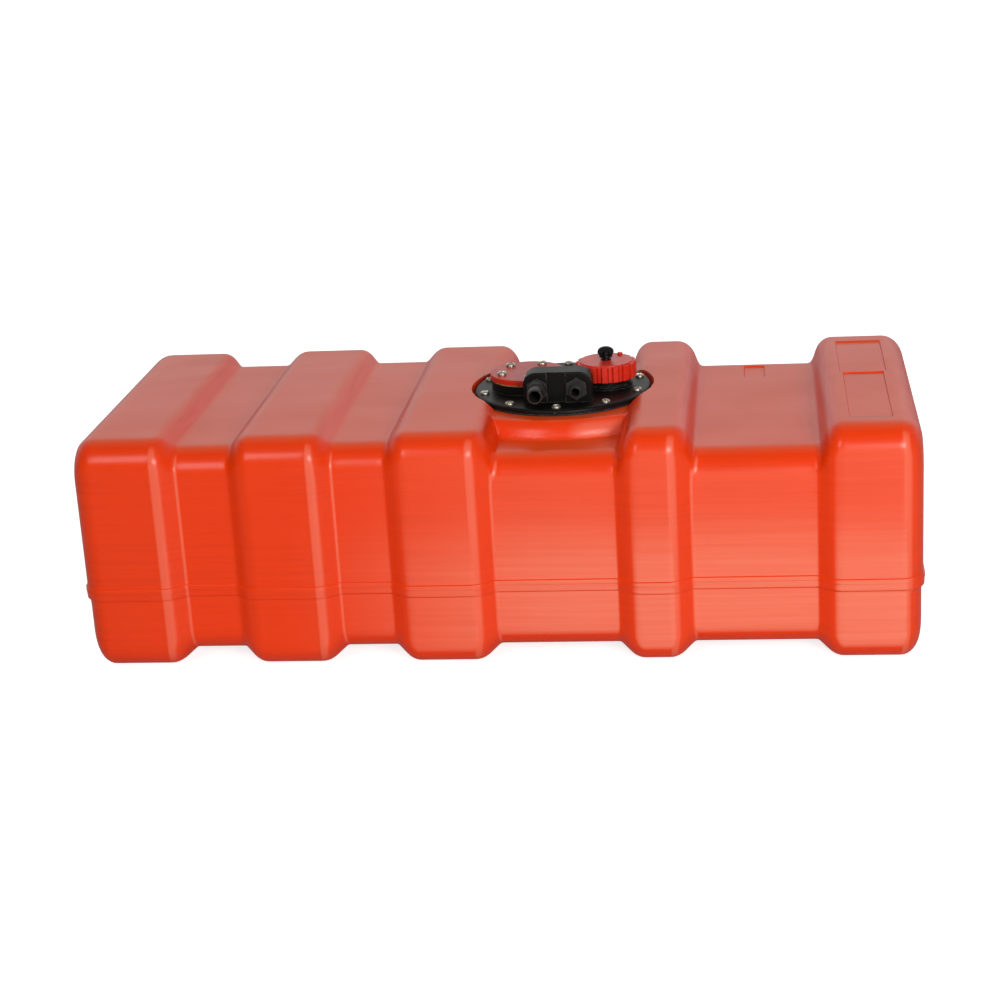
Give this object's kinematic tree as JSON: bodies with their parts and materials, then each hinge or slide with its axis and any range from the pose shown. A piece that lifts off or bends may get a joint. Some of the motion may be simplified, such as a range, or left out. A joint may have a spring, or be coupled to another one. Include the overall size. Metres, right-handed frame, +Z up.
{
  "type": "outboard fuel tank",
  "caption": "Long ribbed plastic fuel tank with a round black flange on top that carries a screwed filler cap with a vent thumb screw, a covered sender port and hose outlets.",
  "frame": {"origin": "centre of the bounding box at its bottom, where the lobes rest on the floor", "axes": "+X along the length towards the filler cap's end, the hose nozzles point to -Y, +Z up"},
  "size_m": [0.804, 0.354, 0.2669],
  "materials": {
    "tank_plastic": "semi-gloss blow-moulded polyethylene",
    "red_plastic": "satin moulded",
    "black_plastic": "satin moulded",
    "nozzle_plastic": "satin moulded",
    "strainer_plastic": "matte moulded",
    "seal_rubber": "matte",
    "cork": "pressed cork",
    "stainless": "satin stainless",
    "insert_brass": "machined"
  },
  "bodies": {
    "tank": {"tank_shell": "tank_plastic", "neck_inserts": "insert_brass", "flange_gasket": "seal_rubber", "flange_plate": "black_plastic", "flange_screws": "stainless", "sender_gasket": "cork", "sender_cover": "red_plastic", "sender_cover_screws": "stainless", "sender_inserts": "insert_brass", "vent_nozzle": "nozzle_plastic", "vent_nozzle_seal": "seal_rubber", "fuel_nozzle": "nozzle_plastic", "fuel_nozzle_seal": "seal_rubber", "pickup_tube": "nozzle_plastic", "pickup_seal": "seal_rubber", "pickup_strainer": "strainer_plastic"},
    "cap_ring": {"cap_seal": "seal_rubber"},
    "cap": {"filler_cap": "red_plastic"},
    "vent_ring": {"vent_seal": "seal_rubber"},
    "vent": {"vent_screw": "black_plastic"}
  },
  "joints": [
    {"name": "cap_rise", "type": "slide", "parent": "tank", "child": "cap_ring", "axis": [0, 0, 1], "range_m": [0, 0.024]},
    {"name": "cap_turn", "type": "hinge", "parent": "cap_ring", "child": "cap", "pos_m": [0.102, 0, 0.237], "axis": [0, 0, 1], "range_deg": [0, 2160]},
    {"name": "vent_rise", "type": "slide", "parent": "cap", "child": "vent_ring", "axis": [0, 0, 1], "range_m": [0, 0.0025]},
    {"name": "vent_turn", "type": "hinge", "parent": "vent_ring", "child": "vent", "pos_m": [0.102, 0, 0.2538], "axis": [0, 0, 1], "range_deg": [0, 720]}
  ],
  "couplings": [
    {"joint": "cap_turn", "follows": "cap_rise", "rad_per_m": 1570.8},
    {"joint": "vent_turn", "follows": "vent_rise", "rad_per_m": 5026.5}
  ]
}
